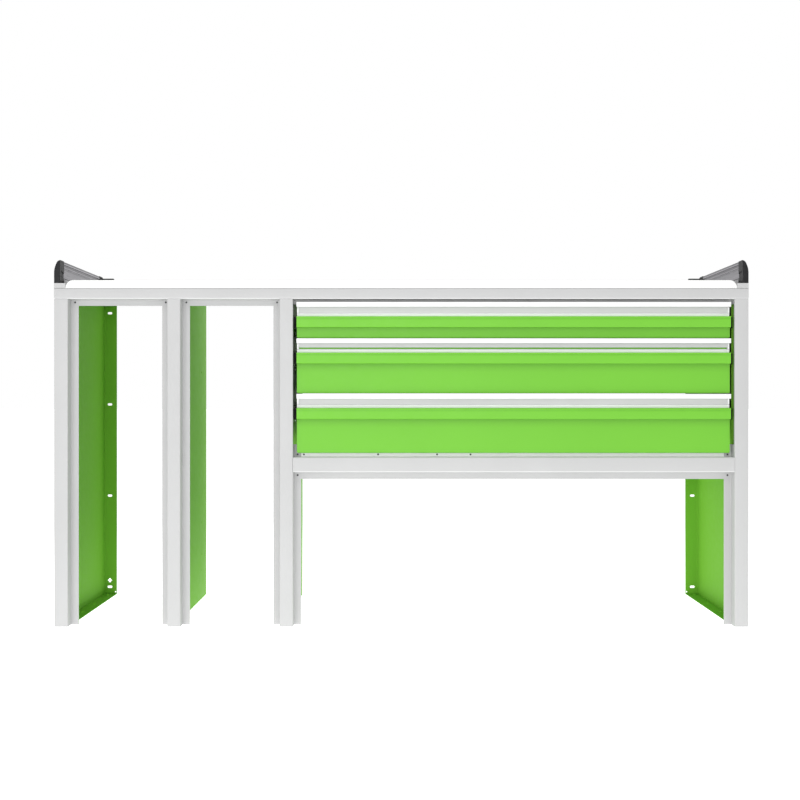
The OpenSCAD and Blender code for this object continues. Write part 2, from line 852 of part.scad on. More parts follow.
// A front in two sheets. The flat strip behind the handle is one, with a narrow gap below it. The other has a
// ridge that stands out, with a hem along its top edge, and a plain lower part with closed ends
module drawer_front(i) {
    top = drawer_top[i];
    low = drawer_low[i];
    ridge_top = top - handle_h - 0.3;
    ridge_low = ridge_top - ridge_h;
    ridge_y = front_y + hem_t;
    back = front_back_y - sheet/2;
    plain = front_y + ridge_d;
    color(green) difference() {
        union() {
            along_x(front_left, front_right)
                folded([[back, ridge_top - sheet/2], [ridge_y + sheet/2, ridge_top - sheet/2],
                        [ridge_y + sheet/2, ridge_low + sheet/2],
                        [plain + sheet/2, ridge_low + sheet/2], [plain + sheet/2, low + sheet/2],
                        [front_back_y - 1, low + sheet/2]]);
            along_x(front_left, front_right)
                polygon([[ridge_y + sheet/2, ridge_top], [front_y + 0.5, ridge_top - 0.2],
                         [front_y, ridge_top - 0.8], [front_y, ridge_top - hem_h + 0.3],
                         [front_y + 0.3, ridge_top - hem_h],
                         [ridge_y + sheet/2, ridge_top - hem_h]]);
            block([front_left, front_back_y - sheet, ridge_top + plate_gap],
                  [front_right, front_back_y, top - strip_drop]);
            for (x = [front_left, front_right - sheet])
                along_x(x, x + sheet)
                    polygon([[ridge_y + bend_r + sheet/2, ridge_top - sheet/2], [back, ridge_top - sheet/2],
                             [back, low + sheet/2], [plain + sheet/2, low + sheet/2],
                             [plain + sheet/2, ridge_low + sheet/2],
                             [ridge_y + bend_r + sheet/2, ridge_low + sheet/2]]);
        }
        front_screw_holes(i, front_back_y - sheet - past, front_back_y + past);
        block([front_left - past, front_y - past, ridge_top - hem_h - hem_gap],
              [front_right + past, ridge_y + hem_groove, ridge_top - hem_h]);
        for (x = [front_left, front_right])
            translate([x, plain, low]) rotate([0, 45, 0])
                cube([corner_cut, 2*handle_d + 2*past, corner_cut], center = true);
    }
}

// Sections of the handle strip, y back from the front face and z up from its top: a flat lip to pull with a
// shelf behind it, the back of the finger recess, and a foot that meets the ridge. Narrow gaps part them
lip_outline = [[0.8, 0], [0, -0.8], [0, -5], [0.4, -5.6], [0, -6.2], [0, -11.8], [0.8, -12.6], [2.4, -12.6],
               [2.4, -3], [handle_d, -3], [handle_d, 0]];
recess_outline = [[17, -3 - plate_gap], [17, -28], [handle_d, -28], [handle_d, -3 - plate_gap]];
foot_outline = [[14.8, -28 - plate_gap], [13.6, -29.4], [13.2, -30.2], [15.4, -handle_h],
                [handle_d, -handle_h], [handle_d, -28 - plate_gap]];

module drawer_handle(i) {
    color(aluminium) difference() {
        along_x(front_left, front_right)
            translate([front_y, drawer_top[i]]) {
                polygon(lip_outline);
                polygon(recess_outline);
                polygon(foot_outline);
            }
        front_screw_holes(i, front_y + 17.5, front_y + handle_d + past);
    }
}

// The middle handle has a long slot above its foot, through which the front shows
module handle_slot(i) {
    z = drawer_top[i] - handle_h;
    block([front_left + slot_end, front_y, z + slot_low],
          [front_right - slot_end, front_y + handle_d + past, z + slot_high]);
}

// Pale blocks that close the ends of the finger recess
module drawer_handle_ends(i) {
    z = drawer_top[i];
    color(aluminium)
        for (x = [front_left, front_right - handle_end_t])
            block([x, front_y + 14, z - handle_end_h], [x + handle_end_t, front_y + 17, z - 12.6]);
}

module box_floor(i) {
    color(green)
        block([box_left, front_back_y, box_low[i]], [box_right, box_back_y, box_low[i] + sheet]);
}

// Four separate walls with narrow gaps at the corners; the sides and the back have a rim turned outwards
module box_walls(i) {
    z0 = box_low[i] + sheet;
    z1 = box_top[i];
    y0 = front_back_y + sheet + corner_gap;
    y1 = box_back_y - sheet - corner_gap;
    color(green) {
        difference() {
            block([box_left, front_back_y, z0], [box_right, front_back_y + sheet, z1]);
            front_screw_holes(i, front_back_y - past, front_back_y + sheet + past);
        }
        block([box_left, box_back_y - sheet, z0], [box_right, box_back_y, z1]);
        block([box_left, box_back_y - sheet, z1 - sheet], [box_right, box_back_y + rim, z1]);
        block([box_left, y0, z0], [box_left + sheet, y1, z1]);
        block([box_left - rim, y0, z1 - sheet], [box_left + sheet, y1, z1]);
        block([box_right - sheet, y0, z0], [box_right, y1, z1]);
        block([box_right - sheet, y0, z1 - sheet], [box_right + rim, y1, z1]);
    }
}

// Screws from inside the box, through the front and into the handle
module front_screws(i) {
    head_y = front_back_y + sheet;
    z = drawer_top[i] - front_screw_drop;
    color(zinc)
        for (x = front_screw_x) {
            bar_y(head_y, head_y + screw_head_h, x, z, screw_head_r);
            bar_y(front_y + 18.2, head_y + past/2, x, z, screw_r);
        }
}

module top_front() {
    drawer_front(0);
}
module middle_front() {
    drawer_front(1);
}
module bottom_front() {
    drawer_front(2);
}
module top_handle() {
    drawer_handle(0);
}
module middle_handle() {
    difference() {
        drawer_handle(1);
        handle_slot(1);
    }
}
module bottom_handle() {
    drawer_handle(2);
}
module top_handle_ends() {
    drawer_handle_ends(0);
}
module middle_handle_ends() {
    drawer_handle_ends(1);
}
module bottom_handle_ends() {
    drawer_handle_ends(2);
}
module top_box_floor() {
    box_floor(0);
}
module middle_box_floor() {
    box_floor(1);
}
module bottom_box_floor() {
    box_floor(2);
}
module top_box_walls() {
    box_walls(0);
}
module middle_box_walls() {
    box_walls(1);
}
module bottom_box_walls() {
    box_walls(2);
}
module top_front_screws() {
    front_screws(0);
}
module middle_front_screws() {
    front_screws(1);
}
module bottom_front_screws() {
    front_screws(2);
}

left_end_panel();
left_divider_panel();
right_divider_panel();
right_end_panel();
left_end_post();
left_divider_post();
right_divider_post();
right_end_post();
top_beam();
lower_beam();
upper_rear_rail();
lower_rear_rail();
rear_rail_bolts();
worktop();
worktop_screws();
rail_screws();
left_seat();
right_seat();
left_side_rail();
right_side_rail();
left_front_cap();
left_rear_cap();
right_front_cap();
right_rear_cap();
flange_screws();
left_carriers();
right_carriers();
carrier_screws();
top_fixed_runners();
middle_fixed_runners();
bottom_fixed_runners();
top_mid_runners();
middle_mid_runners();
bottom_mid_runners();
top_runner_stops();
middle_runner_stops();
bottom_runner_stops();
top_inner_runners();
middle_inner_runners();
bottom_inner_runners();
top_front();
middle_front();
bottom_front();
top_handle();
middle_handle();
bottom_handle();
top_handle_ends();
middle_handle_ends();
bottom_handle_ends();
top_box_floor();
top_box_walls();
middle_box_floor();
middle_box_walls();
bottom_box_floor();
bottom_box_walls();
top_front_screws();
middle_front_screws();
bottom_front_screws();
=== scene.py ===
import json
import math

import bmesh
import bpy
from mathutils import Matrix, Vector


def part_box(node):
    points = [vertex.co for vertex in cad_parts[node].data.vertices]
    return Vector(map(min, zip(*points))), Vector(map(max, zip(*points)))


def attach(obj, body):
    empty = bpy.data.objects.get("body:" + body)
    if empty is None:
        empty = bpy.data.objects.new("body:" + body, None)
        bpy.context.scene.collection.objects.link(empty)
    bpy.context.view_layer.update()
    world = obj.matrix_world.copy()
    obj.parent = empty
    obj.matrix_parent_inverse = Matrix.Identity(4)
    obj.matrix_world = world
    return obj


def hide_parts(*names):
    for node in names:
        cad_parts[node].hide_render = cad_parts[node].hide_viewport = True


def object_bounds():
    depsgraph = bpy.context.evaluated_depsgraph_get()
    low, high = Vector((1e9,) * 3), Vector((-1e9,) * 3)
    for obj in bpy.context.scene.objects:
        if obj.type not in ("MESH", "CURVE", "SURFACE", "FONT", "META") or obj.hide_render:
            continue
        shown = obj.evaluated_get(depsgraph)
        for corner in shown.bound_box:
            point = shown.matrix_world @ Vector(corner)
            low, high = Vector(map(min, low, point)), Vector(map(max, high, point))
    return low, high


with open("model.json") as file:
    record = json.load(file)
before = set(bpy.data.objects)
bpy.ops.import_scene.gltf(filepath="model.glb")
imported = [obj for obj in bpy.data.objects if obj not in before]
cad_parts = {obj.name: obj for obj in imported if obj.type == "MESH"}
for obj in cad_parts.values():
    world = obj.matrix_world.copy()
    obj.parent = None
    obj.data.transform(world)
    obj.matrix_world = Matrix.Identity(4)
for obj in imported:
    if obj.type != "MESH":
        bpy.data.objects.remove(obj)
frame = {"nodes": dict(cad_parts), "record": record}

CAD_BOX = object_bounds()
NODES = frame["nodes"]
SLOT_OF = {part["node"]: part["material_slot"] for part in frame["record"]["subparts"]}
MM = 0.001
DRAWERS = ("top", "middle", "bottom")
FORWARD, BACK, DOWN = Vector((0, -1, 0)), Vector((0, 1, 0)), Vector((0, 0, -1))

# Colours as linear light
FRAME_GREEN = (0.150, 0.390, 0.034)
DRAWER_GREEN = (0.132, 0.418, 0.025)
GREY = (0.420, 0.421, 0.422)
WHITE = (0.700, 0.705, 0.695)
RAIL_METAL = (0.235, 0.229, 0.244)
HANDLE_METAL = (0.690, 0.695, 0.695)
BLACK = (0.013, 0.013, 0.014)
DARK_STEEL = (0.035, 0.035, 0.036)
ZINC = (0.600, 0.620, 0.650)

# ---------------------------------------------------------------- materials

# The sockets of a Mix node that take and give colours
MIX_A, MIX_B, MIX_RESULT = 6, 7, 2
# Noise mostly lies in this range
NOISE_LOW, NOISE_HIGH = 0.3, 0.7
# How far bands of shade take to fade out
FADE = 1 * MM
# Scale of noise along the lines that drawing leaves in metal
ALONG_LINES = 0.02


class Shader:
    """A material whose nodes are added one line at a time."""

    def __init__(self, name):
        self.material = bpy.data.materials.new(name)
        self.material.use_nodes = True
        self.tree = self.material.node_tree
        self.surface = self.tree.nodes["Principled BSDF"]
        self.place = self.add("ShaderNodeTexCoord").outputs["Object"]

    def add(self, kind, inputs=(), **settings):
        """A node with its settings, and with its inputs linked or set."""
        node = self.tree.nodes.new(kind)
        for key, value in settings.items():
            setattr(node, key, value)
        for key, value in dict(inputs).items():
            self.put(node.inputs[key], value)
        return node

    def put(self, socket, value):
        if isinstance(value, bpy.types.NodeSocket):
            self.tree.links.new(value, socket)
        else:
            socket.default_value = value

    def set(self, **inputs):
        """Sets the surface's inputs; an underscore in a name stands for a space."""
        for key, value in inputs.items():
            self.put(self.surface.inputs[key.replace("_", " ")], value)

    def stretched(self, x, y, z):
        """Places whose distances along each axis are multiplied by these scales."""
        node = self.add("ShaderNodeMapping", {"Vector": self.place, "Scale": (x, y, z)})
        return node.outputs["Vector"]

    def noise(self, per_metre, detail=3.0, where=None, roughness=0.5):
        return self.add("ShaderNodeTexNoise", {
            "Vector": where or self.place,
            "Scale": per_metre,
            "Detail": detail,
            "Roughness": roughness,
        }).outputs["Fac"]

    def cells(self, per_metre, feature="F1"):
        inputs = {"Vector": self.place, "Scale": per_metre}
        return self.add("ShaderNodeTexVoronoi", inputs, feature=feature)

    def between(self, factor, low, high, start=NOISE_LOW, end=NOISE_HIGH):
        """factor from start to end, mapped to the numbers low to high."""
        return self.add("ShaderNodeMapRange", {
            "Value": factor,
            "From Min": start,
            "From Max": end,
            "To Min": low,
            "To Max": high,
        }).outputs["Result"]

    def mixed(self, factor, a, b):
        """Colours a and b mixed by factor."""
        node = self.add("ShaderNodeMix", {"Factor": factor}, data_type="RGBA")
        self.put(node.inputs[MIX_A], a)
        self.put(node.inputs[MIX_B], b)
        return node.outputs[MIX_RESULT]

    def shades(self, factor, colour, darker, lighter):
        """colour, made darker where factor is low and lighter where it is high, by these shares."""
        dark = (*[c * (1 - darker) for c in colour], 1)
        light = (*[min(1, c * (1 + lighter)) for c in colour], 1)
        return self.mixed(self.between(factor, 0, 1), dark, light)

    def banded(self, colour, axis, bands, within=None):
        """colour times a grey level that changes from band to band along an axis: painted light and shade.

        bands are pairs of a place in metres and the level there. They reach as far as the distance
        within from the middle of the bench.
        """
        low, high = bands[0][0], bands[-1][0]
        axes = self.add("ShaderNodeSeparateXYZ", {"Vector": self.place}).outputs
        share = 1.0
        if within:
            side = self.add("ShaderNodeMath", {0: axes["X"]}, operation="ABSOLUTE").outputs[0]
            share = self.between(side, 1, 0, within, within + FADE)
        levels = self.add("ShaderNodeValToRGB", {"Fac": self.between(axes[axis], 0, 1, low, high)})
        ramp = levels.color_ramp
        for at, level in bands[1:-1]:
            ramp.elements.new((at - low) / (high - low))
        for element, (at, level) in zip(ramp.elements, bands):
            element.position = (at - low) / (high - low)
            element.color = (level, level, level, 1)
        node = self.add("ShaderNodeMix", {"Factor": share}, data_type="RGBA", blend_type="MULTIPLY")
        self.put(node.inputs[MIX_A], colour)
        self.put(node.inputs[MIX_B], levels.outputs["Color"])
        return node.outputs[MIX_RESULT]

    def bump(self, height, depth, below=None):
        """Normals of a relief of this depth in metres, on top of another relief."""
        node = self.add("ShaderNodeBump", {"Height": height, "Distance": depth, "Strength": 1.0})
        if below:
            self.put(node.inputs["Normal"], below)
        return node.outputs["Normal"]


def powder_coat(name, colour, rough_low, rough_high, specular, bands=None):
    """Oven-baked powder paint: a fine orange peel with slight changes of shade and gloss."""
    s = Shader(name)
    peel = s.noise(per_metre=420, detail=2)
    grain = s.noise(per_metre=1900, detail=2)
    base = s.shades(s.noise(per_metre=5), colour, darker=0.02, lighter=0.02)
    # Painted shade and painted highlights in bands along Z, where bands are given
    if bands:
        base = s.banded(base, "Z", bands)
    speckle = s.between(grain, 0, 0.12, start=0.5, end=0.8)
    speck = (*[c * 0.85 for c in colour], 1)
    s.set(Base_Color=s.mixed(speckle, base, speck))
    s.set(Roughness=s.between(s.noise(per_metre=60), rough_low, rough_high))
    s.set(Specular_IOR_Level=specular)
    s.set(Normal=s.bump(grain, 0.01 * MM, below=s.bump(peel, 0.04 * MM)))
    return s.material


def drawn_metal(name, colour, rough_low, rough_high, along, metallic, **shade):
    """Satin extruded or rolled metal with fine lines along one axis (0 to 2).

    shade is what banded needs, for painted reflections and painted shade in bands.
    """
    s = Shader(name)
    scale = [1.0, 1.0, 1.0]
    scale[along] = ALONG_LINES
    streaks = s.noise(per_metre=900, detail=4, where=s.stretched(*scale), roughness=0.6)
    broad = s.noise(per_metre=70, where=s.stretched(*scale))
    tint = s.shades(broad, colour, darker=0.05, lighter=0.05)
    s.set(Base_Color=s.banded(tint, **shade) if shade else tint)
    s.set(Metallic=metallic, Specular_IOR_Level=0.35)
    s.set(Roughness=s.between(streaks, rough_low, rough_high))
    s.set(Normal=s.bump(streaks, 0.015 * MM, below=s.bump(s.noise(2500, detail=1), 0.004 * MM)))
    return s.material


def laminate(name, colour):
    """Hard white laminate with a fine pebbled texture."""
    s = Shader(name)
    pebble = s.cells(per_metre=1400, feature="SMOOTH_F1").outputs["Distance"]
    s.set(Base_Color=s.shades(s.noise(per_metre=9, detail=4), colour, darker=0.012, lighter=0))
    s.set(Roughness=s.between(s.noise(per_metre=35, detail=4), 0.42, 0.55))
    s.set(Specular_IOR_Level=0.35)
    s.set(Normal=s.bump(pebble, 0.03 * MM, below=s.bump(s.noise(300, detail=2), 0.03 * MM)))
    return s.material


def moulded_plastic(name, colour):
    """Black plastic with a spark-eroded grain and slightly polished high spots."""
    s = Shader(name)
    grain = s.cells(per_metre=1700).outputs["Distance"]
    s.set(Base_Color=s.shades(s.noise(per_metre=120), colour, darker=0.15, lighter=0.25))
    s.set(Roughness=s.between(s.noise(per_metre=200), 0.42, 0.55))
    s.set(Specular_IOR_Level=0.15)
    s.set(Normal=s.bump(grain, 0.05 * MM, below=s.bump(s.noise(900, detail=2), 0.02 * MM)))
    return s.material


def plated_steel(name, colour):
    """Bright zinc plating with faint crystals and a thin clouded film."""
    s = Shader(name)
    crystals = s.cells(per_metre=700).outputs["Color"]
    film = s.shades(s.noise(per_metre=250, detail=4), colour, darker=0.12, lighter=0.1)
    s.set(Base_Color=s.mixed(0.12, film, crystals))
    s.set(Metallic=1.0)
    s.set(Roughness=s.between(s.noise(per_metre=400), 0.22, 0.4))
    s.set(Normal=s.bump(s.noise(per_metre=1500, detail=2), 0.01 * MM))
    return s.material


def bands_from(start, *bands):
    """Bands given in millimetres from a place in metres."""
    return [(start + distance * MM, level) for distance, level in bands]


# Bands of shade stand for reflections and shadows that the plain soft light doesn't bring out.
# A side rail's inner face, upwards: painted shade on its foot, its middle, painted highlights on its two ribs
# and painted shade on its top
RAIL_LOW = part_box("right_side_rail")[0]
RAIL_BANDS = bands_from(
    RAIL_LOW.z, (11, 0.5), (15, 0.95), (37, 0.85), (40.5, 0.6), (42.5, 1.2), (45, 1.2),
    (46.5, 0.6), (51.5, 0.6), (53, 1.3), (55, 1.3), (56, 0.5), (62, 0.5))
RAIL_FACE_END = RAIL_LOW.x + 3.5 * MM
# A handle strip from front to back: its lip, and a painted highlight on the edge and painted shade on the
# back of its recess
RECESS_BANDS = bands_from(
    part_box("top_handle")[0].y, (0, 1.0), (11, 1.0), (11.5, 1.2), (15.5, 1.2), (16, 0.8), (20, 0.8))
# The beams upwards: a painted highlight along each lower fold, and painted light on the lower beam's upper
# half behind the drawers, where shade would fall
BEAM_BANDS = [
    *bands_from(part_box("lower_beam")[0].z, (19, 1.0), (19.5, 1.4), (22, 1.4), (22.5, 1.0),
                (57.5, 1.0), (58.5, 2.0), (87.5, 2.0), (92.5, 1.0)),
    *bands_from(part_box("top_beam")[0].z, (15, 1.0), (15.5, 1.5), (18, 1.5), (18.5, 1.0))]
# Each drawer front: how far its ridge's foot is below its top, and how far down the painted shade
# under its ridge reaches, in millimetres
UNDER_RIDGE = 62
RIDGE_SHADE = 22
FRONT_BANDS = [
    band for name in reversed(DRAWERS)
    for low, high in [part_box(f"{name}_front")]
    for band in (*bands_from(low.z, (1, 1.0)),
                 *bands_from(high.z, (-UNDER_RIDGE - RIDGE_SHADE, 0.95), (-UNDER_RIDGE, 0.76),
                             (1 - UNDER_RIDGE, 1.0)))]

FINISHES = {
    "green_paint": powder_coat("green powder coat", FRAME_GREEN, 0.50, 0.60, specular=0.04),
    "drawer_green": powder_coat(
        "drawer powder coat", DRAWER_GREEN, 0.42, 0.52, specular=0.3, bands=FRONT_BANDS),
    "grey_paint": powder_coat("pale grey powder coat", GREY, 0.45, 0.55, specular=0.3),
    "white_laminate": laminate("white laminate", WHITE),
    "anodised_aluminium": drawn_metal(
        "anodised aluminium", RAIL_METAL, 0.35, 0.5, along=1, metallic=0.9,
        axis="Z", bands=RAIL_BANDS, within=RAIL_FACE_END),
    "pale_aluminium": drawn_metal(
        "pale satin aluminium", HANDLE_METAL, 0.5, 0.6, along=0, metallic=0.12,
        axis="Y", bands=RECESS_BANDS),
    "black_plastic": moulded_plastic("black moulded plastic", BLACK),
    "black_steel": drawn_metal(
        "black rolled steel", DARK_STEEL, 0.35, 0.5, along=1, metallic=0.4),
    "zinc": plated_steel("zinc plating", ZINC),
}

# The grey paint with the painted highlights and painted light in bands that only the two beams have
BEAM_FINISH = powder_coat("beam powder coat", GREY, 0.45, 0.55, specular=0.3, bands=BEAM_BANDS)

# ---------------------------------------------------------------- CAD nodes

# Vertices closer than this are one
SAME_PLACE = 0.01 * MM
# Faces of CAD nodes that meet at more than these angles keep a sharp or a rounded edge
SHARP_ANGLE = math.radians(31)
BEVEL_ANGLE = math.radians(40)


def smooth_by_angle():
    """Geometry nodes that join a CAD mesh's split vertices and keep only its real edges sharp."""
    group = bpy.data.node_groups.new("Joined and smoothed", "GeometryNodeTree")
    group.interface.new_socket("Geometry", in_out="INPUT", socket_type="NodeSocketGeometry")
    group.interface.new_socket("Geometry", in_out="OUTPUT", socket_type="NodeSocketGeometry")
    nodes, links = group.nodes, group.links
    start = nodes.new("NodeGroupInput")
    end = nodes.new("NodeGroupOutput")
    plain = nodes.new("GeometryNodeRemoveAttribute")
    plain.inputs["Name"].default_value = "custom_normal"
    joined = nodes.new("GeometryNodeMergeByDistance")
    joined.inputs["Distance"].default_value = SAME_PLACE
    smooth = nodes.new("GeometryNodeSetShadeSmooth")
    sharp = nodes.new("GeometryNodeSetShadeSmooth")
    sharp.domain = "EDGE"
    sharp.inputs["Shade Smooth"].default_value = False
    angle = nodes.new("GeometryNodeInputMeshEdgeAngle")
    corner = nodes.new("ShaderNodeMath")
    corner.operation = "GREATER_THAN"
    corner.inputs[1].default_value = SHARP_ANGLE
    links.new(start.outputs[0], plain.inputs["Geometry"])
    links.new(plain.outputs[0], joined.inputs["Geometry"])
    links.new(joined.outputs[0], smooth.inputs["Geometry"])
    links.new(smooth.outputs[0], sharp.inputs["Geometry"])
    links.new(angle.outputs["Unsigned Angle"], corner.inputs[0])
    links.new(corner.outputs[0], sharp.inputs["Selection"])
    links.new(sharp.outputs[0], end.inputs[0])
    return group


def edged(obj, width, group):
    """Joins and smooths the mesh, and takes the sharpness off its edges."""
    obj.modifiers.new("joined", "NODES").node_group = group
    bevel = obj.modifiers.new("edges", "BEVEL")
    bevel.limit_method = "ANGLE"
    bevel.angle_limit = BEVEL_ANGLE
    bevel.width = width
    bevel.segments = 2
    bevel.use_clamp_overlap = True
    bevel.harden_normals = True


JOINED = smooth_by_angle()
# Edge widths in millimetres by slot, and for the slots that aren't listed
EDGE = {"white_laminate": 0.4, "black_plastic": 0.4, "zinc": 0.15, "pale_aluminium": 0.2}
SHEET_EDGE = 0.25

for node, obj in NODES.items():
    slot = SLOT_OF[node]
    obj.data.materials.clear()
    obj.data.materials.append(BEAM_FINISH if node.endswith("_beam") else FINISHES[slot])
    edged(obj, EDGE.get(slot, SHEET_EDGE) * MM, JOINED)

# ---------------------------------------------------------------- shapes

PIECE_SHARP_ANGLE = math.radians(35)


class Shape:
    """Vertices and faces, gathered part by part."""

    def __init__(self):
        self.vertices = []
        self.faces = []

    def add(self, rows, place=Matrix()):
        """A closed skin through rings of points with equal counts; both ends are filled."""
        first = len(self.vertices)
        count = len(rows[0])
        self.vertices += [place @ Vector(point) for row in rows for point in row]
        for i in range(len(rows) - 1):
            a, b = first + i * count, first + (i + 1) * count
            for k in range(count):
                after = (k + 1) % count
                self.faces.append((a + k, a + after, b + after, b + k))
        last = first + (len(rows) - 1) * count
        self.faces += [range(first, first + count), range(last, last + count)]

    def piece(self, name, slot, body, *replaced):
        """The object of this shape, which rides on the body and stands for the replaced CAD nodes."""
        mesh = bpy.data.meshes.new(name)
        mesh.from_pydata(self.vertices, [], [tuple(face) for face in self.faces])
        work = bmesh.new()
        work.from_mesh(mesh)
        bmesh.ops.recalc_face_normals(work, faces=work.faces)
        work.to_mesh(mesh)
        work.free()
        mesh.materials.append(FINISHES[slot])
        mesh.shade_smooth()
        mesh.set_sharp_from_angle(angle=PIECE_SHARP_ANGLE)
        obj = bpy.data.objects.new(name, mesh)
        bpy.context.scene.collection.objects.link(obj)
        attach(obj, body)
        if replaced:
            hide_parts(*replaced)


def solids(node):
    """The boxes of the separate solids of a CAD node, from left to right."""
    work = bmesh.new()
    work.from_mesh(NODES[node].data)
    bmesh.ops.remove_doubles(work, verts=work.verts, dist=SAME_PLACE)
    left = set(work.verts)
    boxes = []
    while left:
        group, edge = set(), {next(iter(left))}
        while edge:
            group |= edge
            edge = {e.other_vert(v) for v in edge for e in v.link_edges} - group
        left -= group
        axes = [[v.co[k] for v in group] for k in range(3)]
        boxes.append((Vector([min(a) for a in axes]), Vector([max(a) for a in axes])))
    work.free()
    return sorted(boxes, key=lambda box: tuple(round(c, 5) for c in (*box[0], *box[1])))


# ---------------------------------------------------------------- screws and bolts
SIDES = 36
# How far the lobes of a socket stand out, as a share of its radius
LOBE_DEPTH = 0.14
# Threads: rings a turn, depth as a share of the pitch, the tip's chamfer in thread depths, and how
# much of the depth each ring gains from an end
ROWS_PER_TURN = 6
THREAD_DEPTH = 0.25
TIP_CHAMFER = 1.6
RUN_IN = 0.3
# Nuts: height, how far the thread stands past them, and the shortest bolt that has one
NUT_H = 5 * MM
THREAD_PAST_NUT = 2 * MM
SHORTEST_WITH_NUT = 8 * MM
# Screws this close to the drawer bay's left wall are in that wall
NEAR_WALL = 20 * MM


def ring(z, radius, form=lambda angle: 1.0):
    """A ring of points round the Z axis; form gives its radius at each angle as a share."""
    angles = [2 * math.pi * k / SIDES for k in range(SIDES)]
    return [(radius * form(a) * math.cos(a), radius * form(a) * math.sin(a), z) for a in angles]


def six_lobes(angle):
    return 1.0 + LOBE_DEPTH * math.cos(6 * angle)


def hexagon(angle):
    return math.cos(math.pi / 6) / math.cos(angle % (math.pi / 3) - math.pi / 6)


def chamfered(share):
    """A hexagon, for a ring of this share of its radius, with its corners cut back to the ring."""
    return lambda angle: min(1.0, hexagon(angle) / share)


def turned(r, h, *profile):
    """Rings of a head of radius r and height h; profile gives each ring's shares of h and r."""
    return [ring(up * h, share * r, *form) for up, share, *form in profile]


def thread(length, radius, pitch):
    """Rings of a helical thread from its chamfered tip, length below the head, up to the head."""
    depth = pitch * THREAD_DEPTH
    steps = max(ROWS_PER_TURN, round(ROWS_PER_TURN * length / pitch))
    rows = [ring(-length, radius - TIP_CHAMFER * depth)]
    for i in range(1, steps + 1):
        z = -length * (1 - i / steps)
        near_end = min(1.0, RUN_IN * i, RUN_IN * (steps - i))
        row = []
        for k, (x, y, _) in enumerate(ring(z, radius)):
            groove = 1 - abs(2 * ((z / pitch - k / SIDES) % 1) - 1)
            share = (radius - depth * near_end * groove) / radius
            row.append((x * share, y * share, z))
        rows.append(row)
    return rows


def domed_head(r, h):
    """A pan head with a six-lobed socket; its washer face is at z = 0."""
    socket = 0.46
    return turned(r, h, (0, 1), (0.3, 1), (0.62, 0.94), (0.86, 0.8), (1, 0.58),
                  (1, 1.1 * socket, six_lobes), (0.96, socket, six_lobes),
                  (0.4, 0.96 * socket, six_lobes), (0.3, 0.3 * socket))


def flush_head(r, h):
    """A flat head with a rounded rim and a six-lobed socket."""
    socket = 0.5
    return turned(r, h, (0, 1), (0.75, 1), (1, 0.9), (1, socket, six_lobes),
                  (0.4, 0.94 * socket, six_lobes), (0.3, 0.3 * socket))


def hexagon_head(r, h):
    """A hexagon head on a washer face, with chamfered corners."""
    washer, cut = 0.84, 0.965
    return turned(r, h, (0, washer), (0.1, washer), (0.1, 1, hexagon), (0.78, 1, hexagon),
                  (0.9, cut, chamfered(cut)), (1, 0.82), (1, 0.3))


def nut(r, top, h, bore):
    """A hexagon nut below z = top, with both rims of its bore countersunk."""
    rim, washer, cut = 1.15 * bore, 0.84 * r, 0.94
    profile = [(0.1, bore), (0, rim), (0, washer), (0.12, cut * r, chamfered(cut)), (0.2, r, hexagon),
               (0.8, r, hexagon), (0.88, cut * r, chamfered(cut)), (1, washer), (1, rim), (0.9, bore)]
    return [ring(top - down * h, *rest) for down, *rest in profile]


def placed(box, up, head_h):
    """The place of a screw's washer face in its box, with its head towards up, and its length below."""
    low, high = box
    centre = (low + high) / 2
    half = Vector([abs(c) for c in up]).dot(high - low) / 2
    turn = up.to_track_quat("Z", "Y").to_matrix().to_4x4()
    return Matrix.Translation(centre + up * (half - head_h)) @ turn, 2 * half - head_h


def head_radius(box, up):
    """Half the widest size of the box across the direction up."""
    return max(s * (1 - abs(u)) for s, u in zip(box[1] - box[0], up)) / 2


def screws(node, body, slot, up, head, head_h, shank_r=0.0, pitch=0.0):
    """Screws in place of the CAD node's; up(box) is the direction of a screw's head."""
    shape = Shape()
    for box in solids(node):
        axis = up(box)
        place, length = placed(box, axis, head_h)
        rows = head(head_radius(box, axis), head_h)
        if shank_r:
            rows = thread(length, shank_r, pitch) + rows
        shape.add(rows, place)
        if head is hexagon_head and length > SHORTEST_WITH_NUT:
            nut_top = NUT_H + THREAD_PAST_NUT - length
            shape.add(nut(head_radius(box, axis), nut_top, NUT_H, shank_r), place)
    shape.piece(f"detailed_{node}", slot, body, node)


def inwards(box):
    """Away from the drawer bay's walls."""
    left_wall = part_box("lower_beam")[0].x
    return Vector((1, 0, 0)) if box[0].x < left_wall + NEAR_WALL else Vector((-1, 0, 0))


TAPPING = {"head": domed_head, "head_h": 2.5 * MM, "shank_r": 2 * MM, "pitch": 1.4 * MM}
BOLT = {"head": hexagon_head, "head_h": 4 * MM, "shank_r": 3 * MM, "pitch": 1 * MM}

for node in ("worktop_screws", "rail_screws"):
    screws(node, "frame", "zinc", lambda box: DOWN, **TAPPING)
screws("carrier_screws", "frame", "zinc", inwards, head=domed_head, head_h=2 * MM)
screws("rear_rail_bolts", "frame", "zinc", inwards, **BOLT)
screws("flange_screws", "frame", "black_steel", lambda box: FORWARD, head=flush_head, head_h=1.2 * MM)
for name in DRAWERS:
    screws(f"{name}_front_screws", f"{name}_drawer", "zinc", lambda box: BACK, **TAPPING)

# ---------------------------------------------------------------- end caps of the side rails
# Their sizes are in millimetres: u runs outwards from the inner face, t back from the nose, v up.
CAP_W, CAP_H, CAP_D = 14.8, 61.5, 33.0
# Radii and angles of the outer side, which leans in and ends in a round crown
LEAN_R, CROWN_R = 60.0, 8.0
LEAN, CROWN_START, INNER_START = 25.0, 34.0, 105.0
# Radii of the nose's rims
NOSE_IN, NOSE_OUT, NOSE_TOP = 2.5, 1.2, 12.0
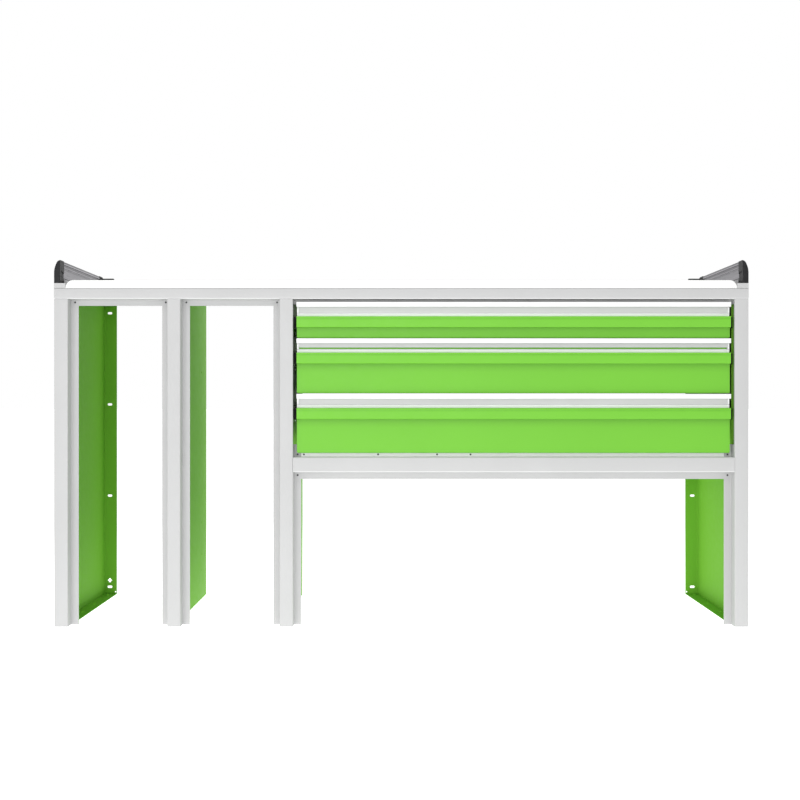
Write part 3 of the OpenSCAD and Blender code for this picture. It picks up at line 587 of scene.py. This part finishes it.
# The inner side's recess: its outline in t and v, its depth and the width of its soft edge
RECESS = [(7, 16), (CAP_D + 4, 16), (CAP_D + 4, 28.5), (22, 31), (12, 33.6), (7, 32)]
RECESS_D = 1.5
RECESS_EDGE = 1.6
# How finely a cap is divided, along its outline and from its nose backwards
CAP_STEP = 0.8
CAP_ROWS = 44
# The plug that holds a cap in its rail: its outline in u and v, its middle, how far it starts
# inside the cap, its length, and the length and the size of its tapered tip
PLUG = [(5.4, 24), (CAP_W - 3.6, 24), (CAP_W - 3.6, 30), (CAP_W - 6, 48.6), (5.4, 48.6)]
PLUG_MIDDLE = (7.0, 36.0)
PLUG_START, PLUG_L, PLUG_TIP, TIP_SIZE = 1, 12, 2, 0.88
# The tab of a rear cap: from u to u, its middle in t and v, half its width and height, its radius
TAB_FROM, TAB_TO = 1, -33
TAB_T, TAB_V = 7, CAP_H - 6
TAB_HALF_W, TAB_HALF_H, TAB_R = 4, 1.75, 1.2
CORNER_STEPS, END_STEPS = 5, 6


def arc(centre, r, start, end, steps):
    """Points on an arc between two angles in degrees."""
    angles = [math.radians(start + (end - start) * k / steps) for k in range(steps + 1)]
    return [(centre[0] + r * math.cos(a), centre[1] + r * math.sin(a)) for a in angles]


def resampled(outline, step):
    """Points along a closed outline about step apart, with its corners kept."""
    points = []
    for a, b in zip(outline, outline[1:] + outline[:1]):
        count = max(1, round(math.dist(a, b) / step))
        points += [(a[0] + (b[0] - a[0]) * k / count, a[1] + (b[1] - a[1]) * k / count) for k in range(count)]
    return points


def inside_by(point, polygon):
    """How far a point is inside a convex or nearly convex polygon that runs anticlockwise."""
    return min(((b[0] - a[0]) * (point[1] - a[1]) - (b[1] - a[1]) * (point[0] - a[0])) / math.dist(a, b)
               for a, b in zip(polygon, polygon[1:] + polygon[:1]))


def eased(x):
    """A smooth step from 0 to 1."""
    x = min(1.0, max(0.0, x))
    return x * x * (3 - 2 * x)


def cap_section():
    """The outline in u and v: the outer side leans in to a round crown."""
    lean_v = CAP_H - CROWN_R - (LEAN_R - CROWN_R) * math.sin(math.radians(LEAN))
    crown_u = CAP_W - LEAN_R + (LEAN_R - CROWN_R) * math.cos(math.radians(LEAN))
    return resampled([(0, 0), (CAP_W, 0)]
                     + arc((CAP_W - LEAN_R, lean_v), LEAN_R, 0, LEAN, 14)
                     + arc((crown_u, CAP_H - CROWN_R), CROWN_R, CROWN_START, 90, 8)
                     + arc((crown_u, CAP_H - crown_u), crown_u, INNER_START, 180, 5), CAP_STEP)


def rounding(t, r):
    """How far a corner of radius r draws back at the distance t from its start."""
    return r - math.sqrt(r * r - (r - t) ** 2) if t < r else 0.0


def cap_rows():
    """Rings of a cap from its nose backwards: the nose is round, and the inner side has a shallow recess."""
    stations = [CAP_D * (1 - math.cos(math.pi / 2 * k / CAP_ROWS)) for k in range(1, CAP_ROWS + 1)]
    rows = []
    for t in stations:
        low, high = rounding(t, NOSE_IN), CAP_W - rounding(t, NOSE_OUT)
        top = CAP_H - rounding(t, NOSE_TOP)
        row = []
        for u, v in cap_section():
            on_inner_side = u < 0.01
            depth = eased(0.5 + inside_by((t, v), RECESS) / RECESS_EDGE) if on_inner_side else 0.0
            row.append((low + (high - low) * u / CAP_W + RECESS_D * depth, t, v * top / CAP_H))
        rows.append(row)
    return rows


def plug_rows(start, end, end_size):
    """Two rings of the plug, the second one of this size as a share of the first."""
    u0, v0 = PLUG_MIDDLE
    return [[(u0 + (u - u0) * size, t, v0 + (v - v0) * size) for u, v in PLUG]
            for size, t in ((1.0, start), (end_size, end))]


def tab_rows():
    """Rings of a flat bar with rounded corners along u, and with a rounded far end."""
    side, top = TAB_HALF_W - TAB_R, TAB_HALF_H - TAB_R
    outline = []
    for k, centre in enumerate([(side, top), (-side, top), (-side, -top), (side, -top)]):
        outline += arc(centre, TAB_R, 90 * k, 90 * k + 90, CORNER_STEPS)
    rows = [[(TAB_FROM, TAB_T + a, TAB_V + b) for a, b in outline]]
    for k in range(END_STEPS + 1):
        angle = math.pi / 2 * k / END_STEPS
        u = TAB_TO + TAB_R * (1 - math.sin(angle))
        drawn = TAB_R * (1 - math.cos(angle))
        wide, high = 1 - drawn / TAB_HALF_W, 1 - drawn / TAB_HALF_H
        rows.append([(u, TAB_T + a * wide, TAB_V + b * high) for a, b in outline])
    return rows


def end_cap(node, side, backwards):
    """A cap at one end of a side rail; backwards is 1 at the front and -1 at the back."""
    low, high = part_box(node)
    nose_y = low.y if backwards > 0 else high.y
    outer_x = high.x if side > 0 else low.x
    axes = Matrix((
        (side * MM, 0, 0, outer_x - side * CAP_W * MM),
        (0, backwards * MM, 0, nose_y),
        (0, 0, MM, low.z),
        (0, 0, 0, 1),
    ))
    shape = Shape()
    shape.add(cap_rows(), axes)
    plug_end = CAP_D + PLUG_L
    shape.add(plug_rows(CAP_D - PLUG_START, plug_end, 1.0), axes)
    shape.add(plug_rows(plug_end, plug_end + PLUG_TIP, TIP_SIZE), axes)
    if backwards < 0:
        shape.add(tab_rows(), axes)
    shape.piece(f"detailed_{node}", "black_plastic", "frame", node)


for name, side in (("left", -1), ("right", 1)):
    end_cap(f"{name}_front_cap", side, 1)
    end_cap(f"{name}_rear_cap", side, -1)

# ---------------------------------------------------------------- balls and cages in the runners
BALL_ROWS = 8
# A ball has one side for every third side of a ring
BALL_SIDES_FROM = 3
BALL_STEP = 6 * MM
BALL_PLAY = 0.05 * MM
CAGE_L = 72 * MM
CAGE_HALF_T = 0.3 * MM
# How far a cage stays clear of the left and right edges of its gap
CAGE_CLEAR = (1.2 * MM, 0.8 * MM)
# Where a cage starts behind the middle member's front, in the fixed member and in the middle one
CAGE_STARTS = (190 * MM, 6 * MM)
RUNNER_SHEET = 1.2 * MM


def ball_rows(centre, r):
    """Rings of a ball from near its foot to near its top."""
    rows = []
    for k in range(1, BALL_ROWS):
        angle = math.pi * k / BALL_ROWS
        z = centre[2] - r * math.cos(angle)
        round_z = ring(0, r * math.sin(angle))[::BALL_SIDES_FROM]
        rows.append([(centre[0] + x, centre[1] + y, z) for x, y, _ in round_z])
    return rows


def ball_cage(shape, x0, x1, y0, z, r):
    """A row of balls along Y in a thin cage between two runner members, centred at height z."""
    corners = [(x0, z - CAGE_HALF_T), (x1, z - CAGE_HALF_T), (x1, z + CAGE_HALF_T), (x0, z + CAGE_HALF_T)]
    shape.add([[(x, y, h) for x, h in corners] for y in (y0, y0 + CAGE_L)])
    count = int(CAGE_L / BALL_STEP)
    for k in range(count):
        shape.add(ball_rows(((x0 + x1) / 2, y0 + CAGE_L * (k + 0.5) / count, z), r))


def runner_cages(name):
    """The balls and cages above and below each middle and inner member of a drawer's runners."""
    shape = Shape()
    members = [solids(f"{name}_{kind}_runners") for kind in ("fixed", "mid", "inner")]
    for fixed, mid, inner in zip(*members):
        for outer, within, start in zip((fixed, mid), (mid, inner), CAGE_STARTS):
            x0 = max(outer[0].x, within[0].x) + CAGE_CLEAR[0]
            x1 = min(outer[1].x, within[1].x) - CAGE_CLEAR[1]
            for up, edge in ((1, 1), (-1, 0)):
                gap = (outer[edge].z - up * RUNNER_SHEET, within[edge].z)
                r = abs(gap[0] - gap[1]) / 2 - BALL_PLAY
                ball_cage(shape, x0, x1, mid[0].y + start, sum(gap) / 2, r)
    shape.piece(f"{name}_ball_cages", "zinc", f"{name}_runners")


for name in DRAWERS:
    runner_cages(name)

# ---------------------------------------------------------------- floor, light and camera
FLOOR_HALF = 60
FLOOR_DROP = 0.2 * MM
FLOOR_COLOUR = (0.4, 0.4, 0.4)
# The floor's glow: beyond its reach and at its middle, and how far it reaches along each axis
GLOW_RIM, GLOW_MIDDLE = 0.72, 1.8
GLOW_REACH = (3, 2, 2)
# Large lamps with their places, sizes and watts, which all shine at one point
AIM = (0, 0, 0.5)
LAMPS = (
    ("front light", (-1.0, -4.3, 0.75), (3.0, 1.2), 62),
    ("top light", (-0.5, -3.0, 3.6), (3.0, 1.5), 15),
    ("left light", (-4.5, 0.5, 1.2), (2.0, 2.0), 10),
    ("right light", (4.5, 0.5, 1.2), (2.0, 2.0), 3),
    ("rear light", (0.5, 4.5, 1.4), (3.0, 2.0), 12),
)
# The camera: focal length and film width in millimetres, and its place from the bench's front
LENS, FILM_W = 42.75, 36
CAMERA_ASIDE, CAMERA_GAP, CAMERA_Z = -3.4 * MM, 2.47, 0.59


def studio_floor():
    """A white floor that glows from within, most of all near its middle, so that it stays pale under the
    bench and lights the bench from below.
    """
    mesh = bpy.data.meshes.new("floor")
    corners = [(-FLOOR_HALF, -FLOOR_HALF), (FLOOR_HALF, -FLOOR_HALF),
               (FLOOR_HALF, FLOOR_HALF), (-FLOOR_HALF, FLOOR_HALF)]
    mesh.from_pydata([(x, y, -FLOOR_DROP) for x, y in corners], [], [(0, 1, 2, 3)])
    floor = bpy.data.objects.new("floor", mesh)
    bpy.context.scene.collection.objects.link(floor)
    s = Shader("studio floor")
    s.set(Base_Color=s.shades(s.noise(per_metre=2), FLOOR_COLOUR, darker=0.01, lighter=0))
    s.set(Roughness=0.8, Emission_Color=(1, 1, 1, 1))
    reach = s.stretched(*[1 / metres for metres in GLOW_REACH])
    glow = s.add("ShaderNodeTexGradient", {"Vector": reach}, gradient_type="SPHERICAL").outputs["Fac"]
    s.set(Emission_Strength=s.between(glow, GLOW_RIM, GLOW_MIDDLE, start=0, end=1))
    mesh.materials.append(s.material)


def soft_box(name, place, size, power):
    """A large rectangular lamp."""
    light = bpy.data.lights.new(name, "AREA")
    light.shape = "RECTANGLE"
    light.size, light.size_y = size
    light.energy = power
    lamp = bpy.data.objects.new(name, light)
    lamp.location = place
    lamp.rotation_euler = (Vector(AIM) - Vector(place)).to_track_quat("-Z", "Y").to_euler()
    bpy.context.scene.collection.objects.link(lamp)


def studio():
    world = bpy.data.worlds.new("studio")
    world.use_nodes = True
    background = world.node_tree.nodes["Background"]
    background.inputs["Color"].default_value = (1, 1, 1, 1)
    background.inputs["Strength"].default_value = 1.0
    bpy.context.scene.world = world
    bpy.context.scene.view_settings.view_transform = "Standard"
    studio_floor()
    for lamp in LAMPS:
        soft_box(*lamp)


def camera():
    """Straight in front of the bench, and a little above its middle."""
    low, high = CAD_BOX
    data = bpy.data.cameras.new("camera")
    data.lens = LENS
    data.sensor_width = FILM_W
    obj = bpy.data.objects.new("camera", data)
    obj.location = ((low.x + high.x) / 2 + CAMERA_ASIDE, low.y - CAMERA_GAP, CAMERA_Z)
    obj.rotation_euler = (math.radians(90), 0, 0)
    bpy.context.scene.collection.objects.link(obj)
    bpy.context.scene.camera = obj


studio()
camera()
